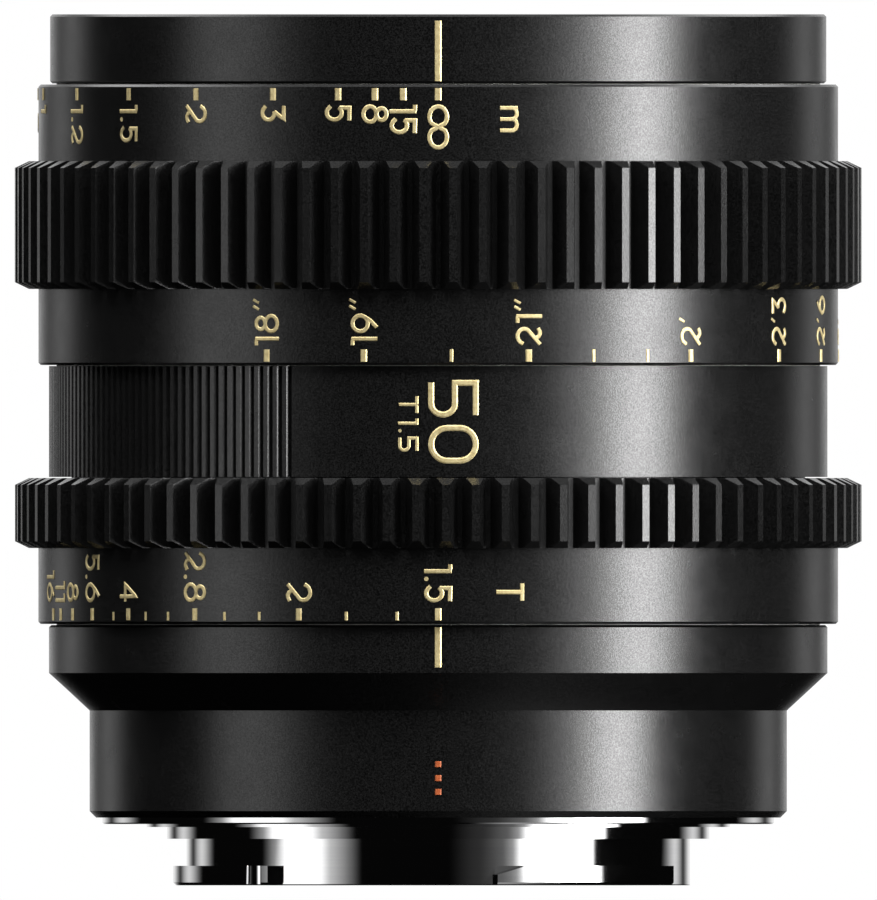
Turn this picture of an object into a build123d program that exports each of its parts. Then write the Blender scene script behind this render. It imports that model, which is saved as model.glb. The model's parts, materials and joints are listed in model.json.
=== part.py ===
from build123d import *
import math
import os

# Cinema prime lens, in millimetres and degrees.
# +Z is the optical axis, towards the front. The origin is on the axis, in the plane where the lens
# seats on the camera. The index marks face -Y, and bearings are counted from +X towards +Y.

# Focus, iris and scales
focal_length = 50.0
close_focus_distance = 450.0 # closest subject, measured from the image plane
focus_turn = 205.5           # turn of the focus ring from infinity to the close stop
iris_turn = 74.5             # turn of the iris ring from T1.5 to T16
widest_stop = 1.5
smallest_stop = 16.0
index_bearing = -90.0
back_bearing = 90.0

# Fits and gaps
running_gap = 0.08           # radial play of a turning or sliding fit
fit_gap = 0.02               # radial play of pieces that are fixed to each other
seam_gap = 0.085             # dark line between two outer rings
axial_gap = 0.05             # end play of a turning ring against its washer or plate
stop_gap = 0.1               # room left at each end stop
cut_overrun = 1.0            # how far a cut runs past the face that it opens

# Camera mount, from the seat plane at height zero. All other radii follow from the register, one
# step or wall after another.
register_radius = 23.05
register_height = 1.0
seat_width = 1.75
seat_height = 0.255
plate_width = 3.75
plate_shown_height = 0.545
plate_sunk_height = 1.2
plate_edge_break = 0.12
tube_step = 1.65             # the throat tube is this much smaller than the register
tube_depth = 4.96
tube_wall = 1.9
baffle_seat_width = 0.7
baffle_seat_depth = 0.9
baffle_thickness = 0.6
baffle_window_margin = 5.2   # between the window's long side and the baffle's rim
baffle_window_height = 22.0
baffle_window_corner = 5.0
lug_rise = 1.14
lug_thickness = 1.66
lug_edge_break = 0.25
lug_bearings = ((-77.0, -27.3), (-197.0, -130.1), (43.0, 93.0))
lug_ramp_angle = 6.5         # length of the lead-in ramp at the front lug's first end
lug_ramp_drop = 0.75
lug_notch_bearing = -134.3
lug_notch_radius = 0.95
lock_hole_radius = 0.9
lock_hole_depth = 1.2
lock_hole_bearing = -30.0
shim_thickness = 0.15

# Outer rings, from the mount to the front
lip_width = 0.55
lip_height = 0.56
housing_step = 0.55          # from the lip to the rear barrel
housing_height = 8.55
cone_height = 3.19
band_wall = 1.9              # the walls of the rings are counted from the guide barrel
band_height = 4.08
ring_wall = 2.8
iris_ring_height = 12.415
grip_sleeve_wall = 1.9
grip_sleeve_height = 9.435
focus_ring_height = 23.855
front_ring_wall = 1.8
front_ring_height = 5.885
edge_break = 0.2
filter_thread_step = 0.606   # the filter thread's inner radius is this much under the guide barrel's
filter_thread_depth = 4.1
filter_lead_in = 0.3

# Follow focus gears: a whole number of teeth, 0.8 module pitch
gear_module = 0.8
gear_addendum = 0.4          # the pitch circle lies this far inside the tooth tips
gear_rise = 2.0              # tooth tips above the ring
gear_root_rise = 0.15
gear_end_rise = 0.8          # where the sloped tooth ends meet the gear's end face
gear_tip_width = 0.66
gear_flank_angle = 20.0
gear_end_slope = 0.58
focus_gear_face = 10.88
focus_gear_rise = 6.465      # from the focus ring's lower edge to the gear
iris_gear_face = 5.96
iris_tooth_offset = 1.08     # bearing of the tooth next to the index mark

# Fine ribs on the grip sleeve
rib_pitch_angle = 1.53
rib_count = 89
rib_first_bearing = -112.1   # the ribs run clockwise from here
rib_depth = 0.3
rib_top_share = 0.45

# Fixed core
barrel_step = 1.55           # the guide barrel is this much larger than the rear barrel
barrel_wall = 1.5
barrel_foot_thickness = 2.0
barrel_foot_gap = 0.72       # between the barrel's foot and the bush
housing_web = 1.9
housing_wall = 1.65
bush_wall = 1.2
bush_drop = 10.5
foot_flange_height = 1.85
foot_flange_width = 2.6

# Focus drive
cam_sleeve_wall = 1.22
washer_thickness = 0.3
washer_width = 1.1
roller_radius = 1.25
roller_bore_radius = 0.66
roller_slot_gap = 0.06
roller_count = 3
roller_first_bearing = 30.0
stud_head_radius = 0.95
stud_head_height = 0.5
stud_root_depth = 2.6
roller_rest_rise = 3.0       # from the carriage land's lower edge to the rollers
stop_block_height = 1.3
stop_block_angle = 3.0       # half of the block's arc

# Carriage
land_step = 1.82             # the waist is this much smaller than the sliding land
carriage_wall = 1.4
ledge_width = 0.8
web_thickness = 1.4
web_clearance = 2.1          # carriage web above the barrel's foot, with focus at infinity
rear_sleeve_step = 1.55      # the rear sleeve is this much smaller than the register
rear_sleeve_wall = 1.2
rear_sleeve_gap = 0.4        # above the mount plate, with focus at infinity
iris_room = 13.0             # from the iris ledge to the carriage land

# Iris unit
blade_count = 10
blade_pivot_inset = 6.78     # from the iris unit's rim to the blade pivots
blade_strip_inset = 1.6      # from the pivots to the blades' outer edge
blade_width = 5.4
blade_arc_angle = 105.0
blade_thickness = 0.12
blade_pitch = 0.2            # each blade has a layer of its own
blade_boss_radius = 1.15
blade_tail_radius = 0.7
blade_lever_length = 7.5
blade_lever_angle = -85.0    # direction of the lever from the pivot, at full opening
blade_pin_radius = 0.4
blade_pin_gap = 0.06
blade_overlap = 0.1          # the open blades lie this far outside the base plate's opening
base_plate_thickness = 0.8
base_rim_width = 0.43
drive_ring_thickness = 1.4
drive_ring_inset = 0.7       # from the pivots out to the drive ring
cover_ring_thickness = 0.7
cover_ring_overlap = 1.0     # how far the cover ring reaches inside the pivots
drive_pin_radius = 0.45
drive_pin_length = 5.1
drive_pin_lag = 4.0          # angle from the end of a cam slot to the drive pin

# Iris arm
arm_gap = 0.35               # between the carriage waist and the arm
arm_thickness = 1.2
arm_half_angle = 7.0
arm_foot_rise = 2.4          # above the iris ring's lower edge
arm_foot_height = 2.8
arm_land_gap = 0.6           # below the carriage land, with focus at infinity

# Optical cells
cell_flange_thickness = 1.0
beauty_ring_thickness = 0.8
beauty_ring_step = 0.3
front_glass_inset = 0.52     # the front cell ends this far behind the first glass's vertex
front_cell_wall = 4.38
doublet_ring_height = 0.9
ring_lip = 1.4               # radial width of the rings that hold the glass
front_ring_height_inside = 1.6
rear_flange_gap = 0.2
rear_cell_wall = 3.78
rear_glass_depth = 3.44      # from the rear sleeve's end to the last glass
rear_cell_flange = 0.9
rear_doublet_wall = 2.5
rear_cell_end_gap = 0.2

# Screws
small_screw_radius = 0.6
small_head_radius = 1.1
small_head_height = 0.5
mount_screw_radius = 0.8
mount_head_radius = 1.4
mount_head_height = 0.7
mount_screw_count = 6
mount_screw_bearing = -60.0
mount_screw_reach = 1.4
socket_share = 0.5           # width of a screw's socket, as a share of its head
housing_head_gap = 0.12      # between the housing screws' heads and the bush
housing_screw_count = 6
cell_screw_count = 3
cam_screw_count = 4
cam_screw_bearing = 45.0
set_screw_bearings = (15.0, 105.0)

# Glass, from the front: centre thickness, front curve, rear curve and gap behind, as shares of the
# focal length. A curve is positive where its centre lies to the rear.
glass_shares = {
    "lens_1": (0.11, 0.96, 3.6, 0.016),
    "lens_2": (0.09, 0.72, 1.2, 0.014),
    "lens_3": (0.096, 0.6, 4.0, 0.0),
    "lens_4": (0.024, 4.0, 0.52, 0.0),
    "lens_5": (0.036, -0.48, 1.8, 0.0),
    "lens_6": (0.122, 1.8, -0.68, 0.014),
    "lens_7": (0.1, 1.4, -1.2, 0.016),
    "lens_8": (0.072, 0.96, 2.4, 0.0),
}
# Rim radius and clear radius of the hollow face, as shares of the widest glass in the same cell
glass_rim_shares = {
    "lens_1": (1.0, 1.0),
    "lens_2": (0.841, 0.841),
    "lens_3": (0.75, 0.75),
    "lens_4": (0.75, 0.659),
    "lens_5": (0.909, 0.818),
    "lens_6": (0.909, 0.909),
    "lens_7": (0.97, 0.97),
    "lens_8": (1.0, 1.0),
}
front_glass = ("lens_1", "lens_2", "lens_3", "lens_4")
rear_glass = ("lens_5", "lens_6", "lens_7", "lens_8")

# Heights of the outer rings
plate_low = seat_height
lip_low = plate_low + plate_shown_height
plate_top = lip_low + plate_sunk_height
shim_top = plate_top + shim_thickness
housing_low = lip_low + lip_height
cone_low = housing_low + housing_height
band_low = cone_low + cone_height
band_top = band_low + band_height
iris_ring_low = band_top + seam_gap
iris_ring_top = iris_ring_low + iris_ring_height
sleeve_low = iris_ring_top + seam_gap
sleeve_top = sleeve_low + grip_sleeve_height
focus_ring_low = sleeve_top + seam_gap
focus_ring_top = focus_ring_low + focus_ring_height
front_ring_low = focus_ring_top + seam_gap
front_top = front_ring_low + front_ring_height
barrel_top = front_top - filter_thread_depth

# Radii of the mount and the rear housing, from the register
seat_radius = register_radius + seat_width
plate_radius = seat_radius + plate_width
mount_screw_circle = (seat_radius + plate_radius) / 2
tube_radius = register_radius - tube_step
tube_bore_radius = tube_radius - tube_wall
baffle_seat_radius = tube_bore_radius + baffle_seat_width
baffle_window_width = 2 * (baffle_seat_radius - baffle_window_margin)
lug_radius = tube_radius + lug_rise
lip_radius = plate_radius + lip_width
housing_radius = lip_radius + housing_step
housing_inner = housing_radius - housing_wall
foot_flange_radius = housing_inner - foot_flange_width

# Radii of the guide barrel and the rings on it
barrel_radius = housing_radius + barrel_step
band_radius = barrel_radius + band_wall
ring_radius = barrel_radius + ring_wall
grip_sleeve_radius = barrel_radius + grip_sleeve_wall
front_ring_radius = barrel_radius + front_ring_wall
filter_thread_radius = barrel_radius - filter_thread_step
gear_tip_radius = ring_radius + gear_rise
gear_root_radius = ring_radius + gear_root_rise
gear_end_radius = ring_radius + gear_end_rise
gear_teeth = round(2 * (gear_tip_radius - gear_addendum) / gear_module)

# Radii that follow from the guide barrel, outwards and inwards
barrel_bore = barrel_radius - barrel_wall
cam_sleeve_bore = barrel_radius + running_gap
cam_sleeve_radius = cam_sleeve_bore + cam_sleeve_wall
focus_ring_bore = cam_sleeve_radius + fit_gap
fixed_ring_bore = barrel_radius + fit_gap
carriage_radius = barrel_bore - running_gap
waist_radius = carriage_radius - land_step
carriage_bore_radius = waist_radius - carriage_wall
ledge_radius = carriage_bore_radius - ledge_width
rear_flange_radius = ledge_radius - rear_flange_gap
rear_sleeve_radius = register_radius - rear_sleeve_step
rear_sleeve_bore = rear_sleeve_radius - rear_sleeve_wall
bush_bore = rear_sleeve_radius + running_gap
bush_radius = bush_bore + bush_wall
barrel_foot_radius = bush_bore + barrel_foot_gap
housing_screw_circle = bush_radius + small_head_radius + housing_head_gap
cell_radius = carriage_bore_radius - fit_gap
rear_cell_radius = rear_sleeve_bore - fit_gap
washer_inner = cam_sleeve_bore + running_gap
washer_outer = washer_inner + washer_width
blade_pivot_circle = cell_radius - blade_pivot_inset
blade_outer_radius = blade_pivot_circle - blade_strip_inset
blade_inner_radius = blade_outer_radius - blade_width
base_plate_opening = blade_inner_radius - blade_overlap
drive_ring_inner_radius = blade_pivot_circle + drive_ring_inset
cover_ring_inner_radius = blade_pivot_circle - cover_ring_overlap
front_glass_radius = cell_radius - front_cell_wall
rear_glass_radius = rear_cell_radius - rear_cell_wall

# Unit focusing: how far the whole optical system moves for the close stop
spare_distance = close_focus_distance - 2 * focal_length
focus_travel = (spare_distance - math.sqrt(spare_distance ** 2 - 4 * focal_length ** 2)) / 2

# Heights inside, with focus at infinity
foot_top = band_low + barrel_foot_thickness
web_low = foot_top + web_clearance
web_top = web_low + web_thickness
rear_sleeve_low = plate_top + rear_sleeve_gap
cam_sleeve_low = sleeve_top + washer_thickness + axial_gap
cam_sleeve_top = front_ring_low - washer_thickness - axial_gap
arm_low = iris_ring_low + arm_foot_rise
arm_inner = waist_radius + arm_gap
arm_outer = arm_inner + arm_thickness


def sag(curve, radius):
    """How far a spherical surface has fallen towards the rear at a radius."""
    size = abs(curve)
    return math.copysign(size - math.sqrt(size ** 2 - radius ** 2), curve)


class Glass:
    """One lens element: its vertices, curves, rim radius and the clear radius of its hollow face."""

    def __init__(self, name, front=None, rear=None):
        thickness, front_curve, rear_curve, gap = (
            share * focal_length for share in glass_shares[name]
        )
        widest = front_glass_radius if name in front_glass else rear_glass_radius
        rim, clear = (share * widest for share in glass_rim_shares[name])
        self.name = name
        self.front = front if front is not None else rear + thickness
        self.rear = self.front - thickness
        self.front_curve = front_curve
        self.rear_curve = rear_curve
        self.rim = rim
        self.gap = gap
        self.front_clear = clear if front_curve < 0 else rim
        self.rear_clear = clear if rear_curve > 0 else rim

    def front_at(self, radius):
        """Height of the front surface at a radius."""
        return self.front - sag(self.front_curve, min(radius, self.front_clear))

    def rear_at(self, radius):
        """Height of the rear surface at a radius."""
        return self.rear - sag(self.rear_curve, min(radius, self.rear_clear))


def glass_gap(name):
    """The gap behind a lens element."""
    return glass_shares[name][3] * focal_length


# The rear group stands up from the rear sleeve, and the iris sits on top of it
lens_8 = Glass("lens_8", rear=rear_sleeve_low + rear_glass_depth)
lens_7 = Glass("lens_7", rear=lens_8.front + glass_gap("lens_7"))
lens_6 = Glass("lens_6", rear=lens_7.front + glass_gap("lens_6"))
lens_5 = Glass("lens_5", rear=lens_6.front)
rear_ring_top = lens_5.front_at(lens_5.front_clear) + doublet_ring_height
iris_seat = rear_ring_top + stop_gap

blade_floor = iris_seat + base_plate_thickness + axial_gap
base_rim_top = blade_floor + blade_count * blade_pitch + axial_gap
drive_ring_low = base_rim_top + axial_gap
drive_ring_top = drive_ring_low + drive_ring_thickness
cover_ring_low = drive_ring_top + axial_gap
cover_ring_top = cover_ring_low + cover_ring_thickness
drive_pin_height = (drive_ring_low + drive_ring_top) / 2

# The front group stands on the iris cover, and the front cell and the carriage end with it
doublet_ring_low = cover_ring_top + stop_gap
hollow_depth = Glass("lens_4", rear=0).rear - Glass("lens_4", rear=0).rear_at(front_glass_radius)
lens_4 = Glass("lens_4", rear=doublet_ring_low + doublet_ring_height + hollow_depth)
lens_3 = Glass("lens_3", rear=lens_4.front)
lens_2 = Glass("lens_2", rear=lens_3.front + glass_gap("lens_2"))
lens_1 = Glass("lens_1", rear=lens_2.front + glass_gap("lens_1"))
cell_top = lens_1.front - front_glass_inset
land_top = cell_top - cell_flange_thickness
land_low = iris_seat + iris_room
roller_height = land_low + roller_rest_rise
arm_top = land_low - arm_land_gap

# How far a blade swings, so that its inner edge closes from the full to the smallest opening
smallest_opening = base_plate_opening * widest_stop / smallest_stop
blade_swing = 2 * math.degrees(
    math.asin((blade_inner_radius - smallest_opening) / (2 * blade_pivot_circle))
)


def turned(points, mode=Mode.ADD):
    """Turn a closed half profile of (radius, height) points about the optical axis."""
    with BuildSketch(Plane.XZ) as half:
        with BuildLine():
            Polyline(*points, close=True)
        make_face()
    revolve(half.sketch, axis=Axis.Z, mode=mode)


def collar(inner, outer, low, high, mode=Mode.ADD):
    """A plain ring between two radii and two heights."""
    turned([(inner, low), (outer, low), (outer, high), (inner, high)], mode)


def arc_block(inner, outer, start, sweep_angle, low, high, mode=Mode.ADD):
    """A block between two radii and two heights that spans only part of a turn."""
    with BuildSketch(Plane.XY.offset(low)) as face:
        with BuildLine():
            near = CenterArc((0, 0), inner, start, sweep_angle)
            far = CenterArc((0, 0), outer, start, sweep_angle)
            Line(near @ 0, far @ 0)
            Line(near @ 1, far @ 1)
        make_face()
    extrude(face.sketch, amount=high - low, mode=mode)


def at_bearing(radius, bearing, height=0):
    """A point at a radius, bearing and height."""
    turn = math.radians(bearing)
    return (radius * math.cos(turn), radius * math.sin(turn), height)


def outward_plane(radius, bearing, height):
    """A plane that touches a round surface and faces away from the axis."""
    return Plane(
        origin=at_bearing(radius, bearing, height), x_dir=(0, 0, 1), z_dir=at_bearing(1, bearing)
    )


def spread(first, count):
    """Evenly spaced bearings round the axis."""
    return [first + 360 * step / count for step in range(count)]


def radial_posts(radius, inner, outer, height, bearings, mode=Mode.ADD):
    """Round posts that point away from the axis, from one radius to another."""
    with Locations(*[outward_plane(inner, bearing, height) for bearing in bearings]):
        Cylinder(radius, outer - inner, align=(Align.CENTER, Align.CENTER, Align.MIN), mode=mode)


def axial_posts(radius, circle, low, high, bearings, mode=Mode.ADD):
    """Round posts parallel to the axis, on a circle."""
    with Locations(*[at_bearing(circle, bearing, low) for bearing in bearings]):
        Cylinder(radius, high - low, align=(Align.CENTER, Align.CENTER, Align.MIN), mode=mode)


def gear_ring(inner, low, high, first_tooth):
    """The toothed band of a follow focus gear, with its tooth ends sloped."""
    half_tip = math.degrees(gear_tip_width / 2 / gear_tip_radius)
    flank = (gear_tip_radius - gear_root_radius) * math.tan(math.radians(gear_flank_angle))
    half_root = math.degrees((gear_tip_width / 2 + flank) / gear_root_radius)
    outline = []
    for bearing in spread(first_tooth, gear_teeth):
        outline += [
            at_bearing(gear_root_radius, bearing - half_root),
            at_bearing(gear_tip_radius, bearing - half_tip),
            at_bearing(gear_tip_radius, bearing + half_tip),
            at_bearing(gear_root_radius, bearing + half_root),
        ]
    with BuildSketch(Plane.XY.offset(low)) as face:
        with BuildLine():
            Polyline(*outline, close=True)
        make_face()
        Circle(inner, mode=Mode.SUBTRACT)
    extrude(face.sketch, amount=high - low)
    past = gear_tip_radius + cut_overrun
    fall = gear_end_slope * (past - gear_end_radius) / (gear_tip_radius - gear_end_radius)
    for end, inwards in ((low, 1), (high, -1)):
        turned(
            [
                (gear_end_radius, end),
                (past, end + inwards * fall),
                (past, end - inwards * cut_overrun),
                (gear_end_radius, end - inwards * cut_overrun),
            ],
            mode=Mode.SUBTRACT,
        )


def finish(piece, name):
    """Label a piece and write its file."""
    piece.part.label = name
    export_step(piece.part, f"parts/{name}.step")


os.makedirs("parts", exist_ok=True)

# Mount ring: plate, seat, register, throat tube and three lugs
screw_bearings = spread(mount_screw_bearing, mount_screw_count)
with BuildPart() as mount_ring:
    turned(
        [
            (tube_bore_radius, -tube_depth),
            (tube_radius, -tube_depth),
            (tube_radius, -register_height),
            (register_radius, -register_height),
            (register_radius, 0),
            (seat_radius, 0),
            (seat_radius, plate_low),
            (plate_radius - plate_edge_break, plate_low),
            (plate_radius, plate_low + plate_edge_break),
            (plate_radius, plate_top),
            (baffle_seat_radius, plate_top),
            (baffle_seat_radius, -baffle_seat_depth),
            (tube_bore_radius, -baffle_seat_depth),
        ]
    )
    lug_high = -tube_depth + lug_thickness
    for first, last in lug_bearings:
        arc_block(
            tube_bore_radius, lug_radius, first, last - first, -tube_depth, lug_high
        )
    turned(
        [
            (lug_radius - lug_edge_break, -tube_depth),
            (lug_radius, -tube_depth + lug_edge_break),
            (lug_radius + cut_overrun, -tube_depth + lug_edge_break),
            (lug_radius + cut_overrun, -tube_depth - cut_overrun),
            (lug_radius - lug_edge_break, -tube_depth - cut_overrun),
        ],
        mode=Mode.SUBTRACT,
    )
    # The front lug starts with a ramp, and the lug beside it has a half-round notch
    ramp_length = math.radians(lug_ramp_angle) * lug_radius
    ramp_tilt = math.degrees(math.atan2(lug_ramp_drop, ramp_length))
    ramp_start = lug_bearings[0][0]
    with Locations(
        Location(at_bearing(lug_radius, ramp_start, lug_high - lug_ramp_drop), (0, 0, ramp_start + 90))
    ):
        with Locations(Location((0, 0, 0), (0, -ramp_tilt, 0))):
            Box(
                ramp_length / math.cos(math.radians(ramp_tilt)),
                2 * (lug_radius - tube_radius),
                lug_thickness,
                align=(Align.MIN, Align.CENTER, Align.MIN),
                mode=Mode.SUBTRACT,
            )
    axial_posts(
        lug_notch_radius, lug_radius, -tube_depth - cut_overrun, lug_high + cut_overrun,
        [lug_notch_bearing], mode=Mode.SUBTRACT,
    )
    axial_posts(
        mount_screw_radius + fit_gap, mount_screw_circle, 0, plate_top + cut_overrun,
        screw_bearings, mode=Mode.SUBTRACT,
    )
    axial_posts(
        mount_head_radius + fit_gap, mount_screw_circle, -cut_overrun, plate_low + mount_head_height,
        screw_bearings, mode=Mode.SUBTRACT,
    )
    axial_posts(
        lock_hole_radius, mount_screw_circle, -cut_overrun, plate_low + lock_hole_depth,
        [lock_hole_bearing], mode=Mode.SUBTRACT,
    )
finish(mount_ring, "mount_ring")

# Screws that hold the mount ring and the shim to the rear housing
with BuildPart() as mount_screws:
    axial_posts(
        mount_head_radius, mount_screw_circle, plate_low, plate_low + mount_head_height, screw_bearings
    )
    axial_posts(
        mount_screw_radius, mount_screw_circle, plate_low, shim_top + mount_screw_reach, screw_bearings
    )
    with BuildSketch(Plane.XY.offset(plate_low)):
        with Locations(*[at_bearing(mount_screw_circle, bearing) for bearing in screw_bearings]):
            RegularPolygon(mount_head_radius * socket_share, 6)
    extrude(amount=mount_head_height * socket_share, mode=Mode.SUBTRACT)
finish(mount_screws, "mount_screws")

# Shim that sets the flange distance
with BuildPart() as flange_shim:
    collar(foot_flange_radius, plate_radius - plate_edge_break, plate_top, shim_top)
    axial_posts(
        mount_screw_radius + running_gap, mount_screw_circle, plate_top - cut_overrun,
        shim_top + cut_overrun, screw_bearings, mode=Mode.SUBTRACT,
    )
finish(flange_shim, "flange_shim")

# Light baffle in the throat
with BuildPart() as rear_baffle:
    with BuildSketch(Plane.XY.offset(-baffle_seat_depth)):
        Circle(baffle_seat_radius - fit_gap)
        RectangleRounded(
            baffle_window_width, baffle_window_height, baffle_window_corner, mode=Mode.SUBTRACT
        )
    extrude(amount=baffle_thickness)
finish(rear_baffle, "rear_baffle")

# Rear housing: lip, rear barrel, cone and rear band, with the bush that guides the carriage
housing_bearings = spread(index_bearing, housing_screw_count)
housing_web_low = band_low - housing_web
foot_flange_top = shim_top + foot_flange_height
screw_head_seat = housing_web_low + small_head_height
with BuildPart() as rear_housing:
    turned(
        [
            (plate_radius + fit_gap, lip_low),
            (lip_radius, lip_low),
            (housing_radius, housing_low),
            (housing_radius, cone_low),
            (band_radius, band_low),
            (band_radius, band_top - edge_break),
            (band_radius - edge_break, band_top),
            (fixed_ring_bore, band_top),
            (fixed_ring_bore, band_low),
            (bush_bore, band_low),
            (bush_bore, band_low - bush_drop),
            (bush_radius, band_low - bush_drop),
            (bush_radius, housing_web_low),
            (housing_inner, housing_web_low),
            (housing_inner, foot_flange_top),
            (foot_flange_radius, foot_flange_top),
            (foot_flange_radius, shim_top),
            (plate_radius + fit_gap, shim_top),
        ]
    )
    axial_posts(
        mount_screw_radius + fit_gap, mount_screw_circle, shim_top - cut_overrun,
        shim_top + mount_screw_reach + stop_gap, screw_bearings, mode=Mode.SUBTRACT,
    )
    axial_posts(
        small_screw_radius + fit_gap, housing_screw_circle, housing_web_low - cut_overrun,
        band_low + cut_overrun, housing_bearings, mode=Mode.SUBTRACT,
    )
    axial_posts(
        small_head_radius + fit_gap, housing_screw_circle, housing_web_low - cut_overrun,
        screw_head_seat, housing_bearings, mode=Mode.SUBTRACT,
    )
finish(rear_housing, "rear_housing")

# Screws that hold the rear housing to the guide barrel
housing_screw_end = band_low + barrel_foot_thickness - stop_gap
with BuildPart() as housing_screws:
    axial_posts(
        small_head_radius, housing_screw_circle, housing_web_low, screw_head_seat, housing_bearings
    )
    axial_posts(
        small_screw_radius, housing_screw_circle, housing_web_low, housing_screw_end, housing_bearings
    )
    with BuildSketch(Plane.XY.offset(housing_web_low)):
        with Locations(*[at_bearing(housing_screw_circle, bearing) for bearing in housing_bearings]):
            RegularPolygon(small_head_radius * socket_share, 6)
    extrude(amount=small_head_height * socket_share, mode=Mode.SUBTRACT)
finish(housing_screws, "housing_screws")

# Guide barrel: the fixed core, with three straight slots and the slot of the iris arm
roller_bearings = spread(roller_first_bearing, roller_count)
slot_half_width = roller_radius + roller_slot_gap
stop_block_low = cam_sleeve_low + axial_gap
stop_screw_height = stop_block_low + stop_block_height / 2
stop_screw_inner = barrel_bore + barrel_wall / 4
set_screw_inner = barrel_radius - barrel_wall / 4
grip_screw_height = (sleeve_low + sleeve_top) / 2
front_screw_height = (front_ring_low + barrel_top) / 2
arm_slot_half_angle = arm_half_angle + math.degrees(stop_gap / barrel_radius)
with BuildPart() as guide_barrel:
    turned(
        [
            (barrel_foot_radius, band_low),
            (barrel_radius, band_low),
            (barrel_radius, barrel_top),
            (barrel_bore, barrel_top),
            (barrel_bore, foot_top),
            (barrel_foot_radius, foot_top),
        ]
    )
    for lift in (0, focus_travel):
        radial_posts(
            slot_half_width, barrel_bore - cut_overrun, barrel_radius + cut_overrun,
            roller_height + lift, roller_bearings, mode=Mode.SUBTRACT,
        )
    with Locations(
        *[
            outward_plane(barrel_bore - cut_overrun, bearing, roller_height + focus_travel / 2)
            for bearing in roller_bearings
        ]
    ):
        Box(
            focus_travel, 2 * slot_half_width, barrel_wall + 2 * cut_overrun,
            align=(Align.CENTER, Align.CENTER, Align.MIN), mode=Mode.SUBTRACT,
        )
    arc_block(
        barrel_bore - cut_overrun, barrel_radius + cut_overrun, back_bearing - arm_slot_half_angle,
        iris_turn + 2 * arm_slot_half_angle, arm_low - stop_gap, arm_low + arm_foot_height + stop_gap,
        mode=Mode.SUBTRACT,
    )
    axial_posts(
        small_screw_radius + fit_gap, housing_screw_circle, band_low - cut_overrun,
        foot_top + cut_overrun, housing_bearings, mode=Mode.SUBTRACT,
    )
    radial_posts(
        small_screw_radius + fit_gap, stop_screw_inner, barrel_radius + cut_overrun,
        stop_screw_height, [back_bearing], mode=Mode.SUBTRACT,
    )
    for height in (grip_screw_height, front_screw_height):
        radial_posts(
            small_screw_radius + fit_gap, set_screw_inner, barrel_radius + cut_overrun,
            height, set_screw_bearings, mode=Mode.SUBTRACT,
        )
finish(guide_barrel, "guide_barrel")

# Front ring, with the filter thread's bore
with BuildPart() as front_ring:
    turned(
        [
            (fixed_ring_bore, front_ring_low),
            (front_ring_radius - edge_break, front_ring_low),
            (front_ring_radius, front_ring_low + edge_break),
            (front_ring_radius, front_top - edge_break),
            (front_ring_radius - edge_break, front_top),
            (filter_thread_radius + filter_lead_in, front_top),
            (filter_thread_radius, front_top - filter_lead_in),
            (filter_thread_radius, barrel_top),
            (fixed_ring_bore, barrel_top),
        ]
    )
    radial_posts(
        small_screw_radius + fit_gap, barrel_radius - cut_overrun, front_ring_radius + cut_overrun,
        front_screw_height, set_screw_bearings, mode=Mode.SUBTRACT,
    )
finish(front_ring, "front_ring")

# Fixed grip sleeve, smooth except for the fine ribs
with BuildPart() as grip_sleeve:
    outline = []
    groove_angle = rib_pitch_angle * (1 - rib_top_share)
    for rib in range(rib_count):
        bearing = rib_first_bearing - rib * rib_pitch_angle
        outline += [
            at_bearing(grip_sleeve_radius, bearing),
            at_bearing(grip_sleeve_radius - rib_depth, bearing - groove_angle / 2),
            at_bearing(grip_sleeve_radius, bearing - groove_angle),
        ]
    rib_last_bearing = rib_first_bearing - rib_count * rib_pitch_angle
    outline.append(at_bearing(grip_sleeve_radius, rib_last_bearing))
    with BuildSketch(Plane.XY.offset(sleeve_low)):
        with BuildLine():
            Polyline(*outline)
            CenterArc(
                (0, 0), grip_sleeve_radius, rib_first_bearing, 360 - rib_count * rib_pitch_angle
            )
        make_face()
        Circle(fixed_ring_bore, mode=Mode.SUBTRACT)
    extrude(amount=grip_sleeve_height)
    radial_posts(
        small_screw_radius + fit_gap, barrel_radius - cut_overrun, grip_sleeve_radius + cut_overrun,
        grip_screw_height, set_screw_bearings, mode=Mode.SUBTRACT,
    )
finish(grip_sleeve, "grip_sleeve")

# Set screws of the two fixed rings
for name, height, outer in (
    ("front_ring_screws", front_screw_height, front_ring_radius),
    ("grip_sleeve_screws", grip_screw_height, grip_sleeve_radius),
):
    with BuildPart() as set_screws:
        radial_posts(
            small_screw_radius, set_screw_inner, outer - rib_depth, height, set_screw_bearings
        )
        with BuildSketch(
            *[outward_plane(outer - rib_depth, bearing, height) for bearing in set_screw_bearings]
        ):
            RegularPolygon(small_screw_radius * socket_share, 6)
        extrude(amount=-small_screw_radius, mode=Mode.SUBTRACT)
    finish(set_screws, name)

# Thrust washers of the focus ring and the iris ring
for name, low in (
    ("focus_washer_front", front_ring_low - washer_thickness),
    ("focus_washer_rear", sleeve_top),
    ("iris_washer", band_top),
):
    with BuildPart() as washer:
        collar(washer_inner, washer_outer, low, low + washer_thickness)
    finish(washer, name)

# Focus stop: a block on the guide barrel that stands in a cut-out of the cam sleeve
stop_block_outer = cam_sleeve_radius - running_gap
with BuildPart() as focus_stop_block:
    arc_block(
        barrel_radius, stop_block_outer, back_bearing - stop_block_angle, 2 * stop_block_angle,
        stop_block_low, stop_block_low + stop_block_height,
    )
    radial_posts(
        small_screw_radius + fit_gap, barrel_radius - cut_overrun, cam_sleeve_radius + cut_overrun,
        stop_screw_height, [back_bearing], mode=Mode.SUBTRACT,
    )
finish(focus_stop_block, "focus_stop_block")

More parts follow.
